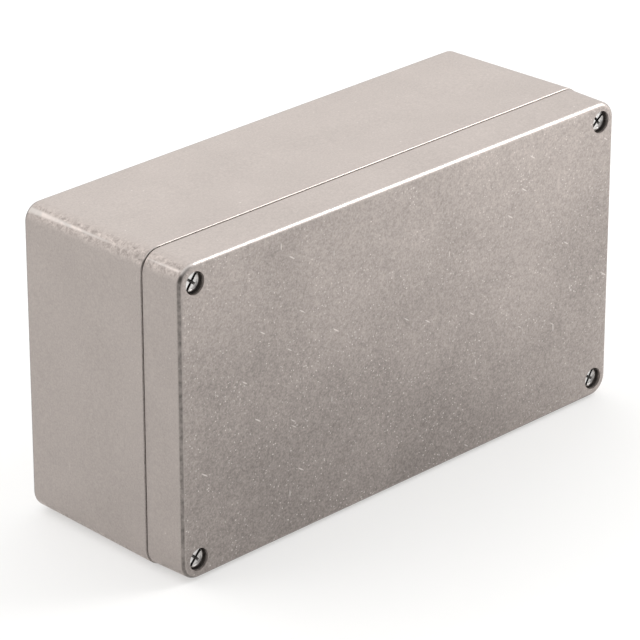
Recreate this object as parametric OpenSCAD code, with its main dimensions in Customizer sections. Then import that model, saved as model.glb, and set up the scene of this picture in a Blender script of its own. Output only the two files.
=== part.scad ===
// Die-cast aluminium box for wall mounting: a deep base casting and a shallow lid casting that
// meet metal to metal on a tongue-and-groove seal and are closed by four captive screws.
// Units are millimetres. The box stands on its long narrow side: +X is its length, +Z is up and
// the lid faces -Y. The origin is under the middle of the box, on the surface it stands on.
// Each piece is drawn lid up, with z = 0 on the joint between the castings, then stood up.

/* [Castings] */
// Overall length of the box, at the joint
box_length = 220; // [180:1:320]
// Overall width of the box, at the joint (its height as it stands)
box_width = 120; // [110:1:180]
// Depth of the base casting, from the joint to the mounting face
base_depth = 62; // [45:1:110]
// Depth of the lid casting, from the joint to its face
lid_depth = 18; // [17:0.5:24]
// Radius of the upright corners, at the joint
corner_radius = 8; // [6.5:0.1:8.5]
// Wall of the base, at the joint
base_wall = 4.5; // [4.2:0.1:5]
// Thickness of the base floor
base_floor = 4; // [3:0.1:6]
// Thickness of the lid plate
lid_plate = 3.5; // [2.5:0.1:3.6]
// Draft of every drawn wall, in degrees
draft_angle = 1.2; // [0.5:0.1:1.5]
// Round along the edge of the mounting face
base_edge_radius = 3; // [1.5:0.1:3.5]
// Round along the edge of the lid face
lid_edge_radius = 1.8; // [1:0.1:2.4]
// Round on both castings where they meet
joint_edge_radius = 0.4; // [0.2:0.05:0.6]
// How far the lid stays back from the rim of the base
lid_setback = 0.4; // [0.1:0.05:0.6]
// Round between the walls and floor of each hollow
hollow_fillet = 2.5; // [1:0.1:3]
// Radius of the upright corners of the base hollow, at the joint
hollow_corner_radius = 6; // [5:0.1:7]
// Radius on the corner blocks, where they face the hollow
block_corner_radius = 5; // [4:0.1:6]

/* [Seal] */
// Width of the tongue on the rim of the base
tongue_width = 1.8; // [1.2:0.1:2]
// Height of the tongue
tongue_height = 2.5; // [1.5:0.1:3]
// Side clearance between the tongue and the outer wall of the groove
tongue_clearance = 0.4; // [0.3:0.05:0.5]
// Width of the gasket groove in the lid
groove_width = 3.8; // [3.4:0.1:4]
// Thickness of the gasket as the tongue presses it
gasket_thickness = 2.5; // [1.5:0.1:3]
// Side clearance of the gasket in its groove
gasket_clearance = 0.2; // [0.1:0.05:0.4]
// Wall of the lid between the groove and the lid hollow
groove_lip = 1.5; // [1.2:0.1:2]

/* [Lid screws] */
// Distance of each lid screw from both outer edges
screw_inset = 8; // [8:0.1:9]
// Diameter of the screw thread
thread_d = 4; // [3.5:0.1:4.4]
// Pitch of the screw thread
thread_pitch = 0.7; // [0.5:0.05:0.8]
// Whole turns and parts of a turn that free the screw
release_turns = 12.5; // [10:0.5:12.5]
// Diameter of the plain waist above the thread
waist_d = 3.2; // [2.8:0.1:3.3]
// Diameter of the screw head
head_d = 7.5; // [6.5:0.1:7.6]
// Height of the screw head
head_height = 2.7; // [2:0.1:3]
// Depth of the head below the lid face
head_recess = 1.8; // [0.5:0.1:2]
// Clearance round the head in its counterbore
head_clearance = 0.5; // [0.4:0.05:0.6]
// Diameter of the clearance hole under the head
shank_hole_d = 4.8; // [4.7:0.1:5.2]
// Running clearance of turned pieces in their holes, on the radius
running_clearance = 0.05; // [0.02:0.01:0.08]
// Depth of the tapped hole in the base, below the joint
tapped_depth = 12; // [10:0.5:20]
// Width of the driver slot
slot_width = 1.2; // [0.8:0.1:1.4]
// Depth of the driver slot
slot_depth = 1.1; // [0.6:0.1:1.2]
// Span of the driver cross
cross_span = 4.2; // [3:0.1:5]
// Depth of the driver cross
cross_depth = 1.9; // [1.3:0.1:2]
// Angle of the slot in each screw: top left, top right, bottom left, bottom right
slot_angles = [52, 38, 47, 58]; // [0:1:180]

/* [Screw retainers] */
// Outer diameter of the retaining washer on each waist
retainer_d = 7.4; // [6.4:0.1:7.5]
// Thickness of the retaining washer
retainer_thickness = 1; // [0.6:0.1:1.2]
// Clearance round the retaining washer in its pocket
retainer_clearance = 0.5; // [0.4:0.05:0.6]
// Height of the retaining washer above the joint while the lid is closed
retainer_rest = 0.4; // [0.3:0.05:0.6]

/* [Wall fixing] */
// Spacing of the fixing holes along the width of the box
fixing_pitch_width = 82; // [76:1:84]
// Diameter of the fixing holes
fixing_hole_d = 6.3; // [5:0.1:7]
// Diameter of the channel that the fixing screw is dropped into
fixing_channel_d = 10.5; // [9:0.1:11]
// Thickness of metal under the fixing screw head
fixing_seat = 6; // [4:0.1:10]
// Wall between the channel and the tongue
channel_wall = 2; // [1.5:0.1:3]
// Depth of the relief in the lid over each channel
relief_depth = 9; // [4:0.5:10]

/* [Inside bosses] */
// Spacing of the plate bosses along the length of the box
plate_pitch_length = 160; // [120:1:164]
// Spacing of the plate bosses along its width
plate_pitch_width = 80; // [60:1:84]
// Diameter of the plate bosses
plate_boss_d = 8; // [7:0.1:9]
// Height of the plate bosses above the floor
plate_boss_height = 6; // [3:0.5:12]
// Diameter of their tapped holes
plate_hole_d = 3.3; // [2.5:0.1:4]
// Depth of their tapped holes
plate_hole_depth = 7; // [4:0.5:8]

/* [Earth terminals] */
// Diameter of the earth bosses
earth_boss_d = 9; // [8:0.1:9]
// Height of the earth boss on the floor of the base
base_earth_height = 8; // [6:0.5:14]
// Height of the earth boss under the lid plate
lid_earth_height = 6; // [5:0.5:6]
// Clearance between the earth bosses and the end wall of the lid hollow
earth_wall_gap = 0.9; // [0.6:0.1:2]
// Diameter of the earth screw thread
earth_thread_d = 4; // [3:0.1:4.2]
// Length of the earth screws under the head
earth_screw_length = 8; // [7:0.5:8]
// Diameter of the earth screw head
earth_head_d = 7; // [6:0.1:7.4]
// Height of the earth screw head
earth_head_height = 2.4; // [1.8:0.1:2.6]
// Outer diameter of the cup washer
cup_d = 8.6; // [8:0.1:9]
// Thickness of the cup washer
cup_thickness = 0.8; // [0.5:0.1:1]
// Height of the rim of the cup washer above its plate
cup_rim = 0.6; // [0.3:0.1:0.8]
// Outer diameter of the spring washer
spring_d = 6.8; // [6.4:0.1:6.8]
// Thickness of the spring washer
spring_thickness = 0.9; // [0.6:0.1:1]
// Opening of the spring washer, in degrees
spring_split = 14; // [6:1:30]

/* [Hidden] */
$fn = 72;
cut = 1;        // how far a cutter runs past the surface it opens
lap = 1;        // how far two shapes that make one run into each other
hair = 0.0015;  // how far a round's circle passes its tangent points

base_inner_depth = base_depth - base_floor;
lid_inner_depth = lid_depth - lid_plate;

// the base hollow at the joint is a cross: a long arm, a short arm and a block in each corner
hollow_x = box_length/2 - base_wall;
hollow_y = box_width/2 - base_wall;
screw_x = box_length/2 - screw_inset;
screw_y = box_width/2 - screw_inset;
fixing_x = screw_x;
fixing_y = fixing_pitch_width/2;
block_x = fixing_x - fixing_channel_d/2 - channel_wall - tongue_width;
block_y = fixing_y - fixing_channel_d/2 - channel_wall - tongue_width;
block_centre_x = block_x + block_corner_radius;
block_centre_y = block_y + block_corner_radius;
hollow_radius = min(hollow_corner_radius, hollow_x - block_centre_x, hollow_y - block_centre_y);

// offsets from the edge of the base hollow, outwards
groove_out = tongue_width + tongue_clearance;
groove_in = groove_out - groove_width;
lid_hollow_in = groove_in - groove_lip;
groove_depth = tongue_height + gasket_thickness;

// the screw, measured from the joint
seat_z = lid_depth - head_recess - head_height;
release_travel = release_turns*thread_pitch;
screw_tip_z = -(release_travel - 0.25);
pocket_top_z = retainer_rest + retainer_thickness + release_travel + 0.1;
thread_top_z = retainer_rest - 0.1;

// the earth terminals sit between the corner blocks at the left end
earth_x = -(hollow_x + lid_hollow_in - earth_wall_gap - earth_boss_d/2);
base_boss_top_z = -base_inner_depth + base_earth_height;
lid_boss_end_z = lid_inner_depth - lid_earth_height;

CORNERS = [[-1, 1], [1, 1], [-1, -1], [1, -1]];
CORNER_NAMES = ["top_left", "top_right", "bottom_left", "bottom_right"];

// ---------------------------------------------------------------- shared forms

// Points on an arc, from angle a to angle b
function arc(centre, r, a, b, n) =
    [for (i = [0:n]) let (t = a + (b - a)*i/n) centre + r*[cos(t), sin(t)]];

// A length that comes from an angle, to a thousandth of a millimetre, so that pieces drawn from
// different centres still meet on the same numbers
function exact(length) = round(length*1000)/1000;

// How far a drafted wall leans over a height
function lean(h) = exact(h*tan(draft_angle));

// What a round of radius r takes off the corner of a square, drawn from the centre of the round.
// The circle is a hair larger, so that it always crosses the two lines that it blends.
module round_off(r) {
    difference() {
        square(r + cut);
        circle(r = r + hair);
    }
}

// Half section of a drafted block, out from the centre of a corner and up from its mouth: a small
// round at the mouth, the drafted wall and a round into the far face
module wall_section(r, h, r_mouth, r_edge) {
    face = r - lean(h);
    difference() {
        polygon([[0, 0], [r, 0], [face, h], [0, h]]);
        if (r_mouth > 0)
            translate([r - exact(r_mouth/tan(45 - draft_angle/2)), r_mouth])
                mirror([0, 1]) round_off(r_mouth);
        translate([face - exact(r_edge/tan(45 + draft_angle/2)), h - r_edge]) round_off(r_edge);
    }
}

// One end of a drafted block, from x = start to x = reach. Every strip and corner uses the one
// section, so their faces meet line on line.
module drafted_end(start, reach, half_width, r, h, r_mouth, r_edge) {
    cx = reach - r;
    cy = half_width - r;
    translate([start, -cy, 0]) cube([cx - start, 2*cy, h]);
    translate([cx, cy, 0]) rotate([90, 0, 0])
        linear_extrude(2*cy) wall_section(r, h, r_mouth, r_edge);
    for (side = [0, 1]) mirror([0, side, 0]) translate([0, cy, 0]) {
        translate([start, 0, 0]) rotate([90, 0, 90])
            linear_extrude(cx - start) wall_section(r, h, r_mouth, r_edge);
        translate([cx, 0, 0]) rotate_extrude(angle = 90) wall_section(r, h, r_mouth, r_edge);
    }
}

// A block with round upright corners, drafted walls and a rounded far edge
module drafted_block(length, width, r, h, r_mouth, r_edge) {
    for (side = [0, 1]) mirror([side, 0, 0])
        drafted_end(-lap, length/2, width/2, r, h, r_mouth, r_edge);
}

// Half section of the metal of a corner block, where it stands in the hollow: a drafted wall that
// grows thicker with depth and a fillet onto the floor
module corner_block_section(r, h, fillet) {
    foot = r + lean(h);
    polygon([[0, -cut], [r, -cut], [r, 0], [foot, h], [foot, h + cut], [0, h + cut]]);
    translate([foot + exact(fillet/tan(45 + draft_angle/2)), h - fillet])
        mirror([1, 0]) round_off(fillet);
}

// A pocket of the cross-shaped hollow, moved outwards by d at z = 0, which starts below its mouth
// and grows upwards: a crossing between the four corner blocks, and an end beyond each pair
module cross_pocket(d, depth, over) {
    out = d + lean(over);
    h = depth + over;
    r = hollow_radius + out;
    fillet = min(hollow_fillet, r - lean(h));
    translate([0, 0, -over]) {
        difference() {
            translate([-block_centre_x, -block_centre_y, 0])
                cube([2*block_centre_x, 2*block_centre_y, h]);
            at_corners(block_centre_x, block_centre_y)
                rotate_extrude() corner_block_section(block_corner_radius - out, h, fillet);
        }
        for (side = [0, 1]) {
            mirror([side, 0, 0])
                drafted_end(block_centre_x - lap, hollow_x + out, block_y + out, r, h, 0, fillet);
            mirror([0, side, 0]) rotate([0, 0, 90])
                drafted_end(block_centre_y - lap, hollow_y + out, block_x + out, r, h, 0, fillet);
        }
    }
}

// Outline of the cross-shaped hollow, moved outwards by d
module cross_plan(d) {
    r = hollow_radius + d;
    difference() {
        square(2*[block_centre_x, block_centre_y], center = true);
        at_corners(block_centre_x, block_centre_y) circle(r = block_corner_radius - d);
    }
    for (end = [[hollow_x, block_y, block_centre_x, 0], [hollow_y, block_x, block_centre_y, 90]])
        for (side = [0, 180]) rotate([0, 0, end[3] + side]) {
            reach = end[0] + d;
            half_width = end[1] + d;
            start = end[2] - lap;
            translate([start, -half_width]) square([reach - r - start, 2*half_width]);
            translate([reach - r, r - half_width]) square([r, 2*(half_width - r)]);
            for (y = [-1, 1]) translate([reach - r, y*(half_width - r)]) circle(r = r);
        }
}

// A band that follows the hollow's outline, between two offsets
module cross_band(outer, inner, h) {
    linear_extrude(h) difference() {
        cross_plan(outer);
        cross_plan(inner);
    }
}

module at_corners(x, y) {
    for (c = CORNERS) translate([c[0]*x, c[1]*y, 0]) children();
}

// From the drawing position, lid up, to the box standing on its long side
module stand_up() {
    translate([0, (lid_depth - base_depth)/2, box_width/2]) rotate([90, 0, 0]) children();
}

// ---------------------------------------------------------------- castings

module base_casting() {
    color([0.70, 0.68, 0.66]) stand_up() difference() {
        union() {
            difference() {
                union() {
                    mirror([0, 0, 1])
                        drafted_block(box_length, box_width, corner_radius, base_depth,
                                      joint_edge_radius, base_edge_radius);
                    linear_extrude(tongue_height) cross_plan(tongue_width);
                }
                mirror([0, 0, 1]) cross_pocket(0, base_inner_depth, tongue_height + cut);
            }
            at_corners(plate_pitch_length/2, plate_pitch_width/2)
                translate([0, 0, -base_inner_depth - base_floor/2])
                    cylinder(d = plate_boss_d, h = base_floor/2 + plate_boss_height);
            translate([earth_x, 0, -base_inner_depth - base_floor/2])
                cylinder(d = earth_boss_d, h = base_floor/2 + base_earth_height);
        }
        // tapped holes for the lid screws
        at_corners(screw_x, screw_y) translate([0, 0, -tapped_depth])
            cylinder(r = thread_d/2 + running_clearance, h = tapped_depth + cut);
        // fixing holes, each at the bottom of a channel that the lid covers
        at_corners(fixing_x, fixing_y) {
            translate([0, 0, -base_depth - cut]) cylinder(d = fixing_hole_d, h = base_depth);
            translate([0, 0, -base_depth + fixing_seat])
                cylinder(d = fixing_channel_d, h = base_depth - fixing_seat + cut);
        }
        // tapped holes of the inside bosses
        at_corners(plate_pitch_length/2, plate_pitch_width/2)
            translate([0, 0, -base_inner_depth + plate_boss_height - plate_hole_depth])
                cylinder(d = plate_hole_d, h = plate_hole_depth + cut);
        translate([earth_x, 0, base_boss_top_z - earth_screw_length])
            cylinder(r = earth_thread_d/2 + running_clearance, h = earth_screw_length + cut);
    }
}

module lid_casting() {
    outer_radius = corner_radius - lid_setback;
    color([0.74, 0.72, 0.70]) stand_up() difference() {
        union() {
            difference() {
                drafted_block(box_length - 2*lid_setback, box_width - 2*lid_setback, outer_radius,
                              lid_depth, joint_edge_radius, lid_edge_radius);
                cross_pocket(lid_hollow_in, lid_inner_depth, cut);
            }
            translate([earth_x, 0, lid_boss_end_z])
                cylinder(d = earth_boss_d, h = lid_earth_height + lid_plate/2);
        }
        // groove for the gasket
        translate([0, 0, -cut]) cross_band(groove_out, groove_in, groove_depth + cut);
        at_corners(screw_x, screw_y) {
            // counterbore for the head, hole for the shank and pocket for the retaining washer
            translate([0, 0, seat_z]) cylinder(d = head_d + 2*head_clearance, h = lid_depth);
            translate([0, 0, -cut]) cylinder(d = shank_hole_d, h = lid_depth);
            translate([0, 0, -cut])
                cylinder(d = retainer_d + 2*retainer_clearance, h = pocket_top_z + cut);
        }
        // relief over the channels of the fixing screws
        at_corners(fixing_x, fixing_y) translate([0, 0, -cut])
            cylinder(d = fixing_channel_d, h = relief_depth + cut);
        translate([earth_x, 0, lid_boss_end_z - cut])
            cylinder(r = earth_thread_d/2 + running_clearance, h = earth_screw_length + cut);
    }
}

module lid_gasket() {
    color([0.13, 0.13, 0.14]) stand_up() translate([0, 0, tongue_height])
        cross_band(groove_out - gasket_clearance, groove_in + gasket_clearance, gasket_thickness);
}

// ---------------------------------------------------------------- lid screws

// Turned about its axis: head with a rounded rim, plain waist and a chamfered threaded end
module lid_screw(corner) {
    tip = 0.6;
    rim = 0.5;
    head_top = seat_z + head_height;
    color([0.80, 0.80, 0.80]) stand_up()
        translate([CORNERS[corner][0]*screw_x, CORNERS[corner][1]*screw_y, 0])
            difference() {
                rotate_extrude() polygon(concat(
                    [[0, screw_tip_z], [thread_d/2 - tip, screw_tip_z],
                     [thread_d/2, screw_tip_z + tip], [thread_d/2, thread_top_z],
                     [waist_d/2, thread_top_z], [waist_d/2, seat_z], [head_d/2, seat_z]],
                    arc([head_d/2 - rim, head_top - rim], rim, 0, 90, 3),
                    [[0, head_top]]));
                translate([0, 0, head_top]) rotate([0, 0, slot_angles[corner]]) {
                    translate([-head_d, -slot_width/2, -slot_depth])
                        cube([2*head_d, slot_width, head_height]);
                    for (a = [0, 90]) rotate([0, 0, a])
                        translate([-cross_span/2, -slot_width/2, -cross_depth])
                            cube([cross_span, slot_width, head_height]);
                }
            }
}

module screw_retainer(corner) {
    color([0.88, 0.87, 0.82]) stand_up()
        translate([CORNERS[corner][0]*screw_x, CORNERS[corner][1]*screw_y, retainer_rest])
            linear_extrude(retainer_thickness) difference() {
                circle(d = retainer_d);
                circle(r = waist_d/2 + running_clearance);
            }
}

// ---------------------------------------------------------------- earth terminals

// The stack stands on z = 0 of its boss: cup washer, spring washer, screw head
module earth_screw() {
    head_z = cup_thickness + spring_thickness;
    difference() {
        union() {
            translate([0, 0, head_z - earth_screw_length])
                cylinder(d = earth_thread_d, h = earth_screw_length);
            translate([0, 0, head_z]) rotate_extrude() polygon(concat(
                [[0, 0], [earth_head_d/2, 0]],
                arc([earth_head_d/2 - 0.6, earth_head_height - 0.6], 0.6, 0, 90, 3),
                [[0, earth_head_height]]));
        }
        for (a = [0, 90]) rotate([0, 0, 45 + a])
            translate([-cross_span/2, -slot_width/2, head_z + 0.6])
                cube([cross_span, slot_width, earth_head_height]);
    }
}

module earth_spring_washer() {
    inner = earth_thread_d/2 + 0.2;
    translate([0, 0, cup_thickness]) rotate([0, 0, 90])
        rotate_extrude(angle = 360 - spring_split)
            translate([inner, 0]) square([spring_d/2 - inner, spring_thickness]);
}

module earth_cup_washer() {
    inner = earth_thread_d/2 + 0.2;
    rotate_extrude() difference() {
        translate([inner, 0]) square([cup_d/2 - inner, cup_thickness + cup_rim]);
        translate([inner - cut, cup_thickness])
            square([cup_d/2 - cup_thickness - inner + cut, cup_rim + cut]);
    }
}

module on_base_boss() {
    color([0.78, 0.75, 0.62]) stand_up() translate([earth_x, 0, base_boss_top_z]) children();
}

module on_lid_boss() {
    color([0.78, 0.75, 0.62]) stand_up() translate([earth_x, 0, lid_boss_end_z])
        rotate([180, 0, 0]) children();
}

// ---------------------------------------------------------------- the part

base_casting();
lid_casting();
lid_gasket();
lid_screw(0);  // lid_screw_top_left
lid_screw(1);  // lid_screw_top_right
lid_screw(2);  // lid_screw_bottom_left
lid_screw(3);  // lid_screw_bottom_right
screw_retainer(0);  // screw_retainer_top_left
screw_retainer(1);  // screw_retainer_top_right
screw_retainer(2);  // screw_retainer_bottom_left
screw_retainer(3);  // screw_retainer_bottom_right
on_base_boss() earth_screw();  // base_earth_screw
on_base_boss() earth_spring_washer();  // base_earth_spring_washer
on_base_boss() earth_cup_washer();  // base_earth_cup_washer
on_lid_boss() earth_screw();  // lid_earth_screw
on_lid_boss() earth_spring_washer();  // lid_earth_spring_washer
on_lid_boss() earth_cup_washer();  // lid_earth_cup_washer
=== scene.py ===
"""Die-cast aluminium wall box: finishes, detailed lid screws and a plain studio."""
import math

import bmesh
import bpy
from mathutils import Matrix, Vector


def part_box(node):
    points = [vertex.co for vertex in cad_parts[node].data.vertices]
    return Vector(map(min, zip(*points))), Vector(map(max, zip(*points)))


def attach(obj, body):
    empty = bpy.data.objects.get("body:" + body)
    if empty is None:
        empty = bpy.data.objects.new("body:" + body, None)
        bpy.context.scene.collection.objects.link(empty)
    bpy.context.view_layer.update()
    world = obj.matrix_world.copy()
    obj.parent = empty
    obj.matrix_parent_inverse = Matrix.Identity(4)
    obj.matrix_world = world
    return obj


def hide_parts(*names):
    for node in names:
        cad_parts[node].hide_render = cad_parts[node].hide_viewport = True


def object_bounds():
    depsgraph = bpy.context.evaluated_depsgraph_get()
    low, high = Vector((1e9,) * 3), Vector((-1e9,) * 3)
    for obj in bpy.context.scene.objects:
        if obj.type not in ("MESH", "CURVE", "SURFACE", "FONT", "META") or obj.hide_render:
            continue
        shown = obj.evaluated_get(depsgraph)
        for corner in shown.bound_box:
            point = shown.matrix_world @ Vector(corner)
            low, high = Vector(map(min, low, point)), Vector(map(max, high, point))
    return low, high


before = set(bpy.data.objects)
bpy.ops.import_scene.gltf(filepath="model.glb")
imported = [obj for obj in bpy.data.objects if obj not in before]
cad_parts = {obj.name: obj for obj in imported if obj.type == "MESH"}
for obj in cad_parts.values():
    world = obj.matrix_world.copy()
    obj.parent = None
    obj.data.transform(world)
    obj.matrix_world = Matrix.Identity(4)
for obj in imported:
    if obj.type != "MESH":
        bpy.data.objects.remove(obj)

bl_info = {
    "name": "Die-cast wall box",
    "version": (1, 0, 0),
    "blender": (4, 5, 0),
    "location": "3D View > Sidebar > Wall box",
    "description": "Finishes, screws and studio for a die-cast aluminium wall box",
    "category": "Object",
}

MM = 0.001
CORNERS = ("top_left", "top_right", "bottom_left", "bottom_right")

CAD_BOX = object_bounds()
CENTRE = (CAD_BOX[0] + CAD_BOX[1]) / 2
BASE_LOW, BASE_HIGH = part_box("base_casting")
LID_LOW, LID_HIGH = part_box("lid_casting")
TONGUE = 2.5 * MM  # height of the base's tongue
SEAM = BASE_LOW.y + TONGUE  # the plane on which the castings meet
SCREW_LOW, SCREW_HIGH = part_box("lid_screw_top_right")
SCREW_X = (SCREW_LOW.x + SCREW_HIGH.x) / 2 - CENTRE.x
SCREW_Z = (SCREW_LOW.z + SCREW_HIGH.z) / 2 - CENTRE.z
LID_AXIS = Matrix.Rotation(math.radians(90), 4, "X")  # turns a screw's +Z out of the lid

# Name, place from the box's centre, width and height in metres, light of the lamp's face
LAMPS = (
    ("key", (1.02, -0.50, 1.08), 0.5, 0.62, 5.5),
    ("front", (0.62, -0.42, 0.22), 0.4, 0.5, 2.8),
    ("back", (1.0, 1.05, 0.85), 1.4, 1.0, 0.8),
    ("side", (-0.66, 1.05, 1.03), 2.1, 1.7, 0.98),
)


# ---------------------------------------------------------------- properties


def length(name, description, default):
    """A property that holds a length in metres."""
    return bpy.props.FloatProperty(
        name=name, description=description, default=default, unit="LENGTH", precision=5
    )


def share(name, description, default):
    """A property that holds a plain factor."""
    return bpy.props.FloatProperty(
        name=name, description=description, default=default, min=0, max=1
    )


def angle(name, description, degrees):
    """A property that holds an angle."""
    return bpy.props.FloatProperty(
        name=name, description=description, default=math.radians(degrees), unit="ROTATION"
    )


def colour(name, description, default):
    """A property that holds a colour."""
    return bpy.props.FloatVectorProperty(
        name=name, description=description, default=default, subtype="COLOR", size=3, min=0, max=1
    )


class CastFinish(bpy.types.PropertyGroup):
    """Bare cast aluminium, tumbled outside and as cast inside."""

    metal: colour("Metal", "Colour of the brighter skin", (0.625, 0.56, 0.526))
    dark_metal: colour("Dark metal", "Colour of the darker skin", (0.25, 0.224, 0.21))
    # the colour of nicks, of the faced boss ends, and of the painted highlight on the
    # upward-facing small edges
    nick_and_highlight_metal: colour("Bright metal", "Colour of nicks and worn edges", (0.80, 0.75, 0.72))
    # painted shade: the dark colour of the small edges and the screws' bores, standing in for the
    # dark reflections and shade there
    lip_shade_metal: colour("Lip metal", "Colour of the small edges' skin", (0.13, 0.117, 0.108))
    inner_metal: colour("Inner metal", "Colour of the as-cast inside", (0.45, 0.42, 0.40))
    roughness: share("Roughness", "Roughness of the tumbled skin", 0.52)
    grain: length("Grain", "Size of the finest grain", 0.7 * MM)
    mottle: length("Mottle", "Size of the mottled spots", 1.9 * MM)
    cloud: length("Cloud", "Size of the large soft blotches", 24 * MM)
    # on the lid this broad pattern is placed so that it darkens the lid towards its lower part, as
    # painted shade
    haze_and_shade: length("Haze", "Size of the broad duller and brighter areas", 140 * MM)
    dab: length("Dab", "Size of the dabs that tumbling leaves on the corners", 1.7 * MM)
    flow: length("Flow", "Size of the flow marks of the as-cast inside", 14 * MM)
    nick_spacing: length("Nick spacing", "Distance between the small round nicks", 3.6 * MM)
    nick_cluster: length("Nick cluster", "Size of the areas with more nicks", 11 * MM)
    scratch_length: length("Scratch length", "Length of the short scratches", 4.0 * MM)
    scratch_width: length("Scratch width", "Width of the short scratches", 0.3 * MM)
    relief: length("Relief", "Depth of the skin's relief", 0.05 * MM)
    wall: length("Wall", "How far in from the outer faces the inside begins", 2.2 * MM)
    # out to this radius the bore's wall is painted dark, as painted shade
    bore_radius: length("Bore radius", "Radius up to which a screw's bore is dark", 4.3 * MM)
    boss_pitch_length: length("Boss pitch, length", "Along the box, boss to boss", 160 * MM)
    boss_pitch_width: length("Boss pitch, width", "Across the box, boss to boss", 80 * MM)
    boss_radius: length("Boss radius", "Radius of a plate boss", 4 * MM)
    pin_pitch_length: length("Pin pitch, length", "Along the box, pin to pin", 90 * MM)
    pin_pitch_width: length("Pin pitch, width", "Across the box, pin to pin", 52 * MM)
    pin_radius: length("Pin radius", "Radius of the ejector pins' marks", 3.5 * MM)


class ScrewShape(bpy.types.PropertyGroup):
    """A captive M4 lid screw with a slot and a short cross."""

    pitch: length("Pitch", "Distance between two thread crests", 0.7 * MM)
    crest_radius: length("Crest radius", "Radius over the thread", 2 * MM)
    root_radius: length("Root radius", "Radius in the thread's groove", 1.58 * MM)
    tip_radius: length("Tip radius", "Radius of the chamfered tip", 1.38 * MM)
    thread_length: length("Thread length", "Length of the threaded end", 8.8 * MM)
    waist_radius: length("Waist radius", "Radius of the plain waist", 1.6 * MM)
    fillet: length("Fillet", "Radius where the waist meets the head", 0.25 * MM)
    head_height: length("Head height", "Height of the head", 2.7 * MM)
    rim: length("Rim", "Radius of the rounded edge of the head", 0.45 * MM)
    seat_edge: length("Seat edge", "Chamfer under the head", 0.15 * MM)
    step: length("Step", "Depth of the turned step in the head", 0.12 * MM)
    step_land: length("Step land", "Width of the ring round the step", 0.35 * MM)
    slot_width: length("Slot width", "Width of the slot", 1.15 * MM)
    slot_depth: length("Slot depth", "Depth of the slot", 1.1 * MM)
    cross_span: length("Cross span", "Length of the cross at the face", 4.4 * MM)
    cross_depth: length("Cross depth", "Depth of the cross", 1.9 * MM)
    slot_turns: bpy.props.FloatVectorProperty(
        name="Slot turns", description="Angle of each screw's slot", size=4, subtype="EULER",
        default=[math.radians(turn) for turn in (52, 38, 47, 58)],
    )
    steel: colour("Steel", "Colour of the turned steel", (0.86, 0.85, 0.835))
    dull_steel: colour("Dull steel", "Colour of its duller rings", (0.58, 0.57, 0.56))
    # painted shade: the dark colour painted into the slot and the cross
    drive_shade: colour("Drive", "Colour of the oiled slot and cross", (0.09, 0.088, 0.085))


class FittingFinish(bpy.types.PropertyGroup):
    """The gasket, the captive washers and the earth terminals."""

    rubber: colour("Rubber", "Colour of the gasket", (0.032, 0.032, 0.035))
    nylon: colour("Nylon", "Colour of the captive washers", (0.78, 0.75, 0.68))
    zinc: colour("Zinc", "Colour of the plated earth screws and washers", (0.66, 0.62, 0.50))


class Studio(bpy.types.PropertyGroup):
    """Camera, lamps and floor."""

    azimuth: angle("Azimuth", "Camera's angle round the box", -44.95)
    elevation: angle("Elevation", "Camera's angle above the floor", 24.7)
    distance: length("Distance", "From the camera to the aim", 1.404)
    lens: bpy.props.FloatProperty(
        name="Lens", description="Focal length on a 36 mm sensor", default=220.7, unit="CAMERA"
    )
    aim_right: length("Aim right", "From the joint's centre to the aim", -0.0179)
    aim_up: length("Aim up", "From the joint's centre to the aim", -0.0004)
    floor_radius: length("Floor radius", "Radius of the floor", 4)
    floor: colour("Floor", "Colour of the floor", (0.97, 0.97, 0.965))
    backdrop: colour("Backdrop", "Colour of the room behind the box", (1.0, 1.0, 0.995))
    room: colour("Room", "Colour of the room on the lid's side", (0.28, 0.275, 0.27))
    lamp_tint: colour("Lamp tint", "Colour of the lamps", (1.0, 0.985, 0.97))


# ---------------------------------------------------------------- shader expressions


class Term:
    """An output socket that takes part in Python expressions. Each operator adds a Math node."""

    def __init__(self, paint, socket):
        self.paint = paint
        self.socket = socket

    def out(self, name):
        """Another output of the same node."""
        return Term(self.paint, self.socket.node.outputs[name])

    def math(self, operation, *values):
        return self.paint.node("ShaderNodeMath", {"operation": operation}, values)

    def __add__(self, other):
        return self.math("ADD", self, other)

    def __sub__(self, other):
        return self.math("SUBTRACT", self, other)

    def __rsub__(self, other):
        return self.math("SUBTRACT", other, self)

    def __mul__(self, other):
        return self.math("MULTIPLY", self, other)

    def __abs__(self):
        return self.math("ABSOLUTE", self)

    __radd__ = __add__
    __rmul__ = __mul__

    def most(self, other):
        """The larger of two values."""
        return self.math("MAXIMUM", self, other)

    def below(self, limit):
        """1 below the limit, otherwise 0."""
        return self.math("LESS_THAN", self, limit)

    def wave(self, period):
        """A sine between -1 and 1 that repeats every period."""
        return self.math("SINE", self * (2 * math.pi / period))

    def rise(self, start, end):
        """0 up to start, 1 from end, smooth between them. A start above end makes it fall."""
        return self.paint.node(
            "ShaderNodeMapRange",
            {"interpolation_type": "SMOOTHSTEP"},
            {"Value": self, "From Min": start, "From Max": end},
        )


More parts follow.
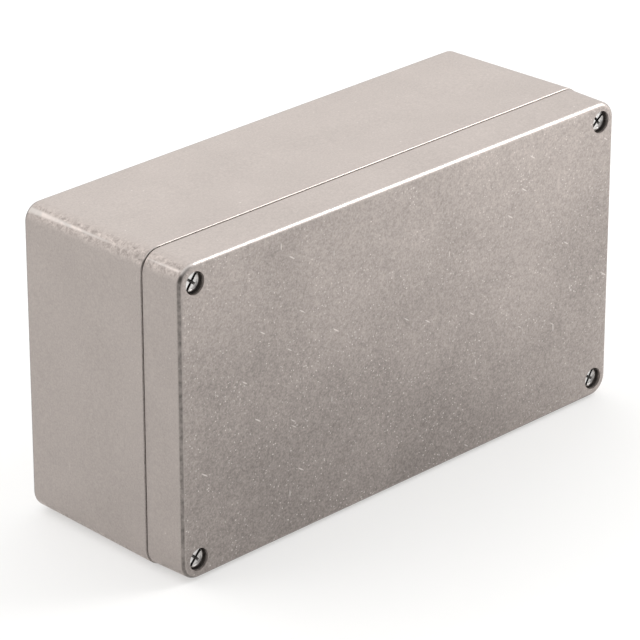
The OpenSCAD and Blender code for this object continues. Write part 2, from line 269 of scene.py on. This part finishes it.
class Paint:
    """The nodes of one material or of the room. Every node is made by node()."""

    def __init__(self, owner):
        owner.use_nodes = True
        self.owner = owner
        self.tree = owner.node_tree
        self.tree.nodes.clear()
        self.coordinates = self.node("ShaderNodeTexCoord")
        self.place = self.coordinates.out("Object")

    def node(self, kind, settings=None, values=()):
        """Adds a node, sets its settings, fills its sockets and returns its first output."""
        made = self.tree.nodes.new(kind)
        for key, setting in (settings or {}).items():
            setattr(made, key, setting)
        for key, value in values.items() if isinstance(values, dict) else enumerate(values):
            if isinstance(value, Term):
                self.tree.links.new(value.socket, made.inputs[key])
            else:
                made.inputs[key].default_value = value
        return Term(self, made.outputs[0]) if made.outputs else made

    def axes(self, vector):
        """The three numbers of a vector."""
        split = self.node("ShaderNodeSeparateXYZ", values=[vector])
        return split, split.out("Y"), split.out("Z")

    def point(self, x, y, z=0):
        """A vector from three numbers."""
        return self.node("ShaderNodeCombineXYZ", values=[x, y, z])

    def distance(self, first, second):
        """How far two points are apart."""
        measured = self.node(
            "ShaderNodeVectorMath", {"operation": "DISTANCE"}, [first, second]
        )
        return measured.out("Value")

    def moved(self, offset):
        """The piece's coordinates, moved so that two pieces don't share one pattern."""
        return self.node("ShaderNodeVectorMath", {"operation": "ADD"}, [self.place, offset])

    def noise(self, place, size, detail=2.0, roughness=0.5, distortion=0.0):
        """Smooth noise around 0.5 whose features are about size wide."""
        return self.node(
            "ShaderNodeTexNoise",
            values={"Vector": place, "Scale": 1 / size, "Detail": detail,
                    "Roughness": roughness, "Distortion": distortion},
        )

    def blend(self, factor, first, second):
        """Mixes two colours."""
        mixed = self.node(
            "ShaderNodeMix", {"data_type": "RGBA"}, {0: factor, 6: first, 7: second}
        )
        return Term(self, mixed.socket.node.outputs[2])

    def specks(self, place, size, chance, radius):
        """Round spots in a share of the cells of a pattern. The radius is a share of a cell."""
        cell = self.node("ShaderNodeTexVoronoi", values={"Vector": place, "Scale": 1 / size})
        luck, depth, _ = self.axes(cell.out("Color"))
        edge = (depth * 0.6 + 0.4) * radius
        return (edge - cell).rise(0, 0.4 * radius) * luck.below(chance) * depth

    def bump(self, height, depth):
        """A relief whose highest part stands depth proud."""
        return self.node(
            "ShaderNodeBump", values={"Strength": 1.0, "Distance": depth, "Height": height}
        )

    def finish(self, base, roughness, metallic, normal):
        """Adds the shader and gives the material."""
        shader = self.node(
            "ShaderNodeBsdfPrincipled",
            values={"Base Color": base, "Roughness": roughness, "Metallic": metallic,
                    "Normal": normal},
        )
        self.node("ShaderNodeOutputMaterial", values=[shader])
        return self.owner


def new_paint(name):
    """The paint of a new material."""
    return Paint(bpy.data.materials.new(name))


def rgba(values):
    """A colour with its alpha."""
    return (*values, 1.0)


def settings(name):
    """One of the scene's property groups."""
    return getattr(bpy.context.scene, name)


def cover(node, material):
    """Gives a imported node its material."""
    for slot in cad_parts[node].material_slots:
        slot.material = material


# ---------------------------------------------------------------- finishes


def scratches(paint, place, finish, seed):
    """Short straight scratches in one direction. A stretched speck is 0.12 of its cell wide."""
    speck = 0.12
    across = finish.scratch_width / speck
    along = finish.scratch_length / (2 * speck)
    turned = paint.node(
        "ShaderNodeMapping",
        {"vector_type": "TEXTURE"},
        {"Vector": place, "Location": (0.3 * seed, 0.17 * seed, 0.11 * seed),
         "Rotation": (0.4 * seed, 0.61 + 0.93 * seed, 0.7 * seed),
         "Scale": (along, across, across)},
    )
    return paint.specks(turned, 1, 0.5, speck)


def tumbled_marks(paint, place, finish):
    """Small round nicks, clusters of fine dots, and short scratches in four directions."""
    nicks = paint.specks(place, finish.nick_spacing, 0.4, 0.12)
    dots = paint.specks(place, 0.42 * finish.nick_spacing, 0.65, 0.22)
    lines = scratches(paint, place, finish, 0)
    for seed in (1, 2, 3):
        lines = lines.most(scratches(paint, place, finish, seed))
    clusters = paint.noise(place, finish.nick_cluster, 2).rise(0.4, 0.62) * 0.5 + 0.1
    return nicks.most(dots * clusters).most(lines * 0.38)


def cast_metal(name, finish, offset):
    """Cast aluminium. The outside is tumbled to a fine grain with nicks and carries painted shade
    and painted highlights on its edges, the inside is as cast.
    """
    paint = new_paint(name)
    place = paint.moved(offset)
    x, y, z = paint.axes(paint.place)
    facing = paint.axes(paint.place.out("Normal"))
    nx, ny, nz = (abs(n) for n in facing)
    along, up = abs(x - CENTRE.x), abs(z - CENTRE.z)
    plan = paint.point(along, up)  # one quarter of the box, seen from the lid

    # the inside of the shells
    wall, side, top = finish.wall, BASE_HIGH.x, BASE_HIGH.z - CENTRE.z
    inside = (
        along.rise(side - wall, side - 1.3 * wall)
        * up.rise(top - wall, top - 1.3 * wall)
        * y.rise(LID_LOW.y + 0.9 * wall, LID_LOW.y + wall)
        * y.rise(BASE_HIGH.y - 0.9 * wall, BASE_HIGH.y - wall)
    )
    outside = 1 - inside

    # the lid's face and the mounting face, the rounded corners, the small edges round the
    # joint and the two faces, and the bores of the lid screws
    broad = ny.rise(0.9, 0.99) * outside
    rounding = (1 - nx.most(ny).most(nz)).rise(0.015, 0.16) * outside
    lip = ny.rise(0.1, 0.5) * ny.rise(0.97, 0.78) * outside
    # painted highlight: the upward-facing small edges on the lid's side are painted lighter, where
    # a lamp's reflection falls
    highlight_lip = lip * facing[1].rise(0, -0.1) * (facing[2] - nx).rise(-0.3, 0)
    # painted shade: the other small edges are painted dark, as a painted dark reflection
    lip_shade = lip - highlight_lip
    corner = rounding * (1 - lip)
    # painted shade: the walls of the screws' bores
    bore = (
        paint.distance(plan, (SCREW_X, SCREW_Z, 0)).rise(
            finish.bore_radius + 0.1 * MM, finish.bore_radius
        )
        * ny.rise(0.5, 0.3)
        * y.rise(LID_LOW.y + 0.5 * MM, LID_LOW.y + 1.2 * MM)
    )

    # the tumbled skin, with painted shade on the small edges and in the screws' bores, and a
    # painted highlight on the upward-facing small edges of the lid's side
    haze_and_shade = paint.noise(place, finish.haze_and_shade, 1) - 0.5
    clouds = paint.noise(place, finish.cloud, 3, 0.55) - 0.5
    mottle = paint.noise(place, finish.mottle, 3, 0.6) - 0.5
    grain = paint.noise(place, finish.grain, 2, 0.6) - 0.5
    marks = tumbled_marks(paint, place, finish) * (broad * 0.8 + 0.2) * outside
    dabs = (paint.noise(place, finish.dab, 3, 0.65, 0.8) - 0.5) * corner

    tone = (clouds * 0.35 + mottle * 0.5 + grain * 0.92) * (broad * 0.5 + 0.5)
    # painted shade: the broad pattern darkens the broad faces, and on the lid it is placed to
    # darken the lower part
    tone = tone + (haze_and_shade * 1.05 - 0.12) * broad
    # painted highlight: the corner roundings are painted lighter than the faces, as a bright band
    # along them
    tone = tone + dabs * 1.5 - rounding * 0.06 + corner * 0.12 + 0.5
    bright, dark_edge = rgba(finish.nick_and_highlight_metal), rgba(finish.lip_shade_metal)
    skin = paint.blend(tone, rgba(finish.dark_metal), rgba(finish.metal))
    skin = paint.blend(marks, skin, bright)
    # painted highlight on the upward-facing small edges
    skin = paint.blend(highlight_lip * 0.5, skin, bright)
    # painted shade on the small edges, mottled
    skin = paint.blend(lip_shade * (0.75 + mottle * 1.4), skin, dark_edge)
    # painted shade in the screws' bores
    skin = paint.blend(bore * 0.85, skin, dark_edge)
    skin = paint.blend(marks, skin, bright)  # nicks show through the dark edges too

    # inside: flow marks of the metal, the faced ends of the bosses and the pins' marks
    flow = paint.noise(place, finish.flow, 4, 0.55, 2.4)
    level = ny.rise(0.9, 0.99) * inside
    boss_place = (finish.boss_pitch_length / 2, finish.boss_pitch_width / 2, 0)
    from_boss = paint.distance(plan, boss_place)
    faced = from_boss.rise(1.02 * finish.boss_radius, finish.boss_radius) * level
    turning = from_boss.wave(0.28 * MM) * faced
    pin_place = (finish.pin_pitch_length / 2, finish.pin_pitch_width / 2, 0)
    from_pin = paint.distance(plan, pin_place)
    pin_edge = abs(from_pin - finish.pin_radius).rise(0.3 * MM, 0.1 * MM) * level
    core = paint.blend(flow.rise(0.35, 0.7), rgba(finish.inner_metal), rgba(finish.metal))
    core = paint.blend(faced * 0.6, core, bright)

    rough = finish.roughness + mottle * 0.15 - marks * 0.2 - lip * 0.22
    rough = rough - dabs * 0.3 + corner * 0.14 - faced * 0.2 + (flow - 0.5) * 0.2 * inside
    relief = (grain * 0.6 + mottle * 0.8 - marks * 0.5 + dabs * 1.7) * outside
    relief = relief + (flow * 0.9 - pin_edge * 1.2 + turning * 0.12) * inside
    return paint.finish(
        paint.blend(inside, skin, core), rough, 1.0, paint.bump(relief, finish.relief)
    )


def turned_steel(name, shape):
    """Bright turned steel with fine rings round its axis, and painted shade in the slot and the
    cross.
    """
    paint = new_paint(name)
    x, y, z = paint.axes(paint.place)
    from_axis = paint.distance(paint.point(x, y), (0, 0, 0))
    rings = paint.node(
        "ShaderNodeTexNoise",
        {"noise_dimensions": "2D"},
        {"Vector": paint.point(from_axis, z), "Scale": 1 / (0.16 * MM), "Detail": 2},
    )
    smudge = paint.noise(paint.place, 1.4 * MM, 3)
    tone = (smudge - 0.5) * 1.6 + (rings - 0.5)
    steel = paint.blend(tone.rise(-0.6, 0.6), rgba(shape.dull_steel), rgba(shape.steel))
    drive = (
        z.rise(-0.15 * MM, -0.5 * MM)
        * z.rise(-2.6 * MM, -2.3 * MM)
        * from_axis.rise(3.6 * MM, 3.45 * MM)
    )
    # painted shade in the slot and the cross
    steel = paint.blend(drive * 0.8, steel, rgba(shape.drive_shade))
    return paint.finish(steel, 0.26 + smudge * 0.16, 1.0, paint.bump(rings, 0.012 * MM))


def plain_finish(name, tint, size, roughness, depth, metallic=0.0):
    """Rubber, nylon or plating: a tint with a light mottle and a fine skin."""
    paint = new_paint(name)
    skin = paint.noise(paint.place, size, 3, 0.6)
    patch = paint.noise(paint.place, 9 * size, 2)
    dark = [0.78 * part for part in tint]
    base = paint.blend((skin * 0.5 + patch * 0.5).rise(0.35, 0.65), rgba(dark), rgba(tint))
    return paint.finish(
        base, roughness + (skin - 0.5) * 0.25, metallic, paint.bump(skin, depth)
    )


# ---------------------------------------------------------------- shapes


def closed_solid(mesh, rings):
    """A closed body through rings of points, from the lowest to the highest."""
    rings = [[mesh.verts.new(point) for point in ring] for ring in rings]
    around = len(rings[0])
    for low, high in zip(rings, rings[1:]):
        for k in range(around):
            after = (k + 1) % around
            mesh.faces.new((low[k], low[after], high[after], high[k]))
    mesh.faces.new(list(reversed(rings[0])))
    mesh.faces.new(rings[-1])


def turned_ring(row, around=64):
    """A ring of points. The row is a function of the angle that gives radius and height."""
    points = []
    for k in range(around):
        turn = 2 * math.pi * k / around
        radius, height = row(turn)
        points.append((radius * math.cos(turn), radius * math.sin(turn), height))
    return points


def plain_row(radius, height):
    """A row with one radius all round."""
    return lambda turn: (radius, height)


def thread_row(shape, height, tip, top):
    """A row of the thread. It dies out at the waist and in the chamfer of the tip."""
    crest, root = 0.125, 0.4375  # where the crest ends and the root begins, as shares of a pitch

    def row(turn):
        phase = (height / shape.pitch - turn / (2 * math.pi)) % 1
        ridge = min(1, max(0, (root - abs(phase - 0.5)) / (root - crest)))
        ridge *= min(1, max(0, (top - height) / shape.pitch))
        radius = shape.root_radius + (shape.crest_radius - shape.root_radius) * ridge
        return min(radius, shape.tip_radius + max(0, height - tip)), height

    return row


def screw_mesh(shape, head_radius, depth):
    """The screw's body, with its axis along Z, its face at z = 0 and its tip at -depth."""
    seat = -shape.head_height
    tip, thread_top = -depth, shape.thread_length - depth
    waist, fillet = shape.waist_radius, shape.fillet
    steps = round(8 * shape.thread_length / shape.pitch)
    rows = [
        thread_row(shape, tip + shape.thread_length * k / steps, tip, thread_top)
        for k in range(steps + 1)
    ]
    rows += [
        plain_row(waist, thread_top + 0.2 * MM),
        plain_row(waist, seat - fillet),
        plain_row(waist + 0.28 * fillet, seat - 0.28 * fillet),
        plain_row(waist + fillet, seat),
        plain_row(head_radius - shape.seat_edge, seat),
        plain_row(head_radius, seat + shape.seat_edge),
    ]
    for degrees in range(0, 91, 15):
        lean = math.radians(degrees)
        rows.append(plain_row(
            head_radius - shape.rim * (1 - math.cos(lean)), -shape.rim * (1 - math.sin(lean))
        ))
    land = head_radius - shape.rim - shape.step_land
    rows += [
        plain_row(land, 0),
        plain_row(land - shape.step, -shape.step),
        plain_row(0.4 * land, -shape.step),
    ]
    mesh = bmesh.new()
    closed_solid(mesh, [turned_ring(row) for row in rows])
    return mesh


def cross_outline(span, width, height):
    """A plus-shaped outline."""
    a, b = span / 2, width / 2
    points = []
    for k in range(4):
        turn = Matrix.Rotation(k * math.pi / 2, 3, "Z")
        points += [turn @ Vector((px, py, height)) for px, py in ((a, -b), (a, b), (b, b))]
    return points


def drive_cutter(shape):
    """The slot and the tapered cross, as one cutting body through the face at z = 0."""
    cutter = bmesh.new()
    above = 1 * MM  # how far the cutter stands out of the face
    reach, half = 1.5 * shape.cross_span, shape.slot_width / 2
    slot = [(-reach, -half), (reach, -half), (reach, half), (-reach, half)]
    closed_solid(cutter, [
        [(px, py, height) for px, py in slot] for height in (-shape.slot_depth, above)
    ])
    flare = 1 + 0.45 * above / shape.cross_depth
    closed_solid(cutter, [
        cross_outline(shape.cross_span * 0.5, shape.slot_width * 0.7, -shape.cross_depth),
        cross_outline(shape.cross_span * flare, shape.slot_width * 0.98, above),
    ])
    return cutter


def new_object(name, mesh):
    """An object in the scene from a bmesh, which is used up."""
    data = bpy.data.meshes.new(name)
    mesh.to_mesh(data)
    mesh.free()
    made = bpy.data.objects.new(name, data)
    bpy.context.scene.collection.objects.link(made)
    return made


def carve(piece, cutter_mesh):
    """Cuts a body out of a piece."""
    cutter = new_object("cutter", cutter_mesh)
    cut = piece.modifiers.new("drive", "BOOLEAN")
    cut.operation = "DIFFERENCE"
    cut.solver = "EXACT"
    cut.use_self = True
    cut.object = cutter
    graph = bpy.context.evaluated_depsgraph_get()
    carved = bpy.data.meshes.new_from_object(piece.evaluated_get(graph))
    if len(carved.polygons) < len(piece.data.polygons) / 2:
        raise RuntimeError(f"the cut left too little of {piece.name}")
    piece.modifiers.clear()
    piece.data = carved
    bpy.data.objects.remove(cutter)


def smooth(piece, degrees):
    """Shades a piece smooth, with its edges sharp from an angle on."""
    piece.data.shade_smooth()
    piece.data.set_sharp_from_angle(angle=math.radians(degrees))


# ---------------------------------------------------------------- operators


class WALLBOX_OT_castings(bpy.types.Operator):
    """Gives the base and the lid the finish of tumbled cast aluminium"""

    bl_idname = "wallbox.castings"
    bl_label = "Castings"

    def execute(self, context):
        finish = settings("wallbox_cast")
        cover("base_casting", cast_metal("cast_base", finish, (0.0, 0.0, 0.0)))
        # the lid's offset places the broad pattern so that it darkens the lid towards its lower
        # part, as painted shade
        cover("lid_casting", cast_metal("cast_lid", finish, (-0.175, 0.51, -1.085)))
        return {"FINISHED"}


class WALLBOX_OT_lid_screws(bpy.types.Operator):
    """Builds the four captive lid screws with their threads, waists and drives"""

    bl_idname = "wallbox.lid_screws"
    bl_label = "Lid screws"

    def execute(self, context):
        shape = settings("wallbox_screw")
        steel = turned_steel("turned_steel", shape)
        for corner, turn in zip(CORNERS, shape.slot_turns):
            node = "lid_screw_" + corner
            low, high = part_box(node)
            mesh = screw_mesh(shape, (high.x - low.x) / 2, high.y - low.y)
            piece = new_object("screw_" + corner, mesh)
            carve(piece, drive_cutter(shape))
            smooth(piece, 35)
            face = Matrix.Translation(((low.x + high.x) / 2, low.y, (low.z + high.z) / 2))
            piece.matrix_world = face @ LID_AXIS @ Matrix.Rotation(turn, 4, "Z")
            piece.data.materials.clear()
            piece.data.materials.append(steel)
            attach(piece, "screw_" + corner)
            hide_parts(node)
        return {"FINISHED"}


class WALLBOX_OT_seal(bpy.types.Operator):
    """Gives the gasket and the captive washers their finishes"""

    bl_idname = "wallbox.seal"
    bl_label = "Seal and washers"

    def execute(self, context):
        finish = settings("wallbox_fitting")
        rubber = plain_finish("gasket_rubber", finish.rubber, 0.5 * MM, 0.72, 0.04 * MM)
        cover("lid_gasket", rubber)
        nylon = plain_finish("nylon", finish.nylon, 1.2 * MM, 0.42, 0.01 * MM)
        for corner in CORNERS:
            cover("screw_retainer_" + corner, nylon)
        return {"FINISHED"}


class WALLBOX_OT_earth(bpy.types.Operator):
    """Gives the earth screws and their washers a zinc plating"""

    bl_idname = "wallbox.earth"
    bl_label = "Earth terminals"

    def execute(self, context):
        finish = settings("wallbox_fitting")
        zinc = plain_finish("zinc_plating", finish.zinc, 0.7 * MM, 0.34, 0.008 * MM, 1.0)
        for side in ("base", "lid"):
            for part in ("screw", "spring_washer", "cup_washer"):
                cover(f"{side}_earth_{part}", zinc)
        return {"FINISHED"}


class WALLBOX_OT_studio(bpy.types.Operator):
    """Builds the floor, the room, the lamps and the camera"""

    bl_idname = "wallbox.studio"
    bl_label = "Studio"

    def floor(self, studio):
        """A pale floor. To the eye it is partly white, so that its shadow stays soft."""
        mesh = bmesh.new()
        bmesh.ops.create_circle(mesh, cap_ends=True, segments=128, radius=studio.floor_radius)
        floor = new_object("floor", mesh)
        floor.location = (CENTRE.x, CENTRE.y, CAD_BOX[0].z)
        paint = new_paint("floor")
        path = paint.node("ShaderNodeLightPath")
        for_the_eye = (
            path.out("Is Camera Ray")
            .most(path.out("Is Glossy Ray"))
            .most(path.out("Is Transmission Ray"))
        )
        matt = paint.node("ShaderNodeBsdfDiffuse", values={"Color": rgba(studio.floor)})
        white = paint.node(
            "ShaderNodeEmission", values={"Color": rgba(studio.backdrop), "Strength": 1.0}
        )
        seen = paint.node("ShaderNodeMixShader", values=[for_the_eye * 0.45, matt, white])
        paint.node("ShaderNodeOutputMaterial", values=[seen])
        floor.data.materials.append(paint.owner)

    def room(self, studio, context):
        """A room that is pale above and behind the box, and darker on the lid's side."""
        context.scene.world = bpy.data.worlds.new("room")
        paint = Paint(context.scene.world)
        x, y, z = paint.axes(paint.coordinates.out("Generated"))
        back = (x * 0.2 + y * 0.8 + z).rise(-0.3, 0.9)
        tint = paint.blend(back, rgba(studio.room), rgba(studio.backdrop))
        light = paint.node("ShaderNodeBackground", values={"Color": tint, "Strength": 1.0})
        paint.node("ShaderNodeOutputWorld", values=[light])

    def lamps(self, studio, context):
        """Soft boxes that face the box."""
        for name, offset, width, height, strength in LAMPS:
            data = bpy.data.lights.new(name, "AREA")
            data.shape = "RECTANGLE"
            data.size = width
            data.size_y = height
            data.energy = strength * math.pi * width * height
            data.color = studio.lamp_tint
            made = bpy.data.objects.new(name, data)
            context.scene.collection.objects.link(made)
            made.location = CENTRE + Vector(offset)
            made.rotation_euler = (-Vector(offset)).to_track_quat("-Z", "Y").to_euler()
            made.visible_camera = False

    def camera(self, studio, context):
        """A camera that looks at the joint's centre from the front left."""
        data = bpy.data.cameras.new("camera")
        data.lens = studio.lens
        data.sensor_width = 36
        data.clip_start = 0.05
        made = bpy.data.objects.new("camera", data)
        context.scene.collection.objects.link(made)
        round_box, above = studio.azimuth, studio.elevation
        back = Vector((
            math.sin(round_box) * math.cos(above),
            -math.cos(round_box) * math.cos(above),
            math.sin(above),
        ))
        facing = back.to_track_quat("Z", "Y")
        joint = Vector((CENTRE.x, SEAM, CENTRE.z))
        aim = joint + facing @ Vector((studio.aim_right, studio.aim_up, 0))
        made.rotation_euler = facing.to_euler()
        made.location = aim + studio.distance * back
        context.scene.camera = made

    def execute(self, context):
        studio = settings("wallbox_studio")
        self.floor(studio)
        self.room(studio, context)
        self.lamps(studio, context)
        self.camera(studio, context)
        context.scene.view_settings.view_transform = "Standard"
        return {"FINISHED"}


STEPS = (
    WALLBOX_OT_castings,
    WALLBOX_OT_lid_screws,
    WALLBOX_OT_seal,
    WALLBOX_OT_earth,
    WALLBOX_OT_studio,
)
GROUPS = {
    "wallbox_cast": CastFinish,
    "wallbox_screw": ScrewShape,
    "wallbox_fitting": FittingFinish,
    "wallbox_studio": Studio,
}


class WALLBOX_PT_panel(bpy.types.Panel):
    """The steps that dress the wall box, and the values they use"""

    bl_idname = "WALLBOX_PT_panel"
    bl_label = "Wall box"
    bl_space_type = "VIEW_3D"
    bl_region_type = "UI"
    bl_category = "Wall box"

    def draw(self, context):
        for step in STEPS:
            self.layout.operator(step.bl_idname)
        for name, group in GROUPS.items():
            box = self.layout.box()
            for key in group.__annotations__:
                box.prop(getattr(context.scene, name), key)


def register():
    for name, group in GROUPS.items():
        bpy.utils.register_class(group)
        setattr(bpy.types.Scene, name, bpy.props.PointerProperty(type=group))
    for cls in (*STEPS, WALLBOX_PT_panel):
        bpy.utils.register_class(cls)


def unregister():
    for cls in (WALLBOX_PT_panel, *reversed(STEPS)):
        bpy.utils.unregister_class(cls)
    for name, group in GROUPS.items():
        delattr(bpy.types.Scene, name)
        bpy.utils.unregister_class(group)


def main():
    register()
    bpy.ops.wallbox.castings()
    bpy.ops.wallbox.lid_screws()
    bpy.ops.wallbox.seal()
    bpy.ops.wallbox.earth()
    bpy.ops.wallbox.studio()


if __name__ == "__main__":
    main()
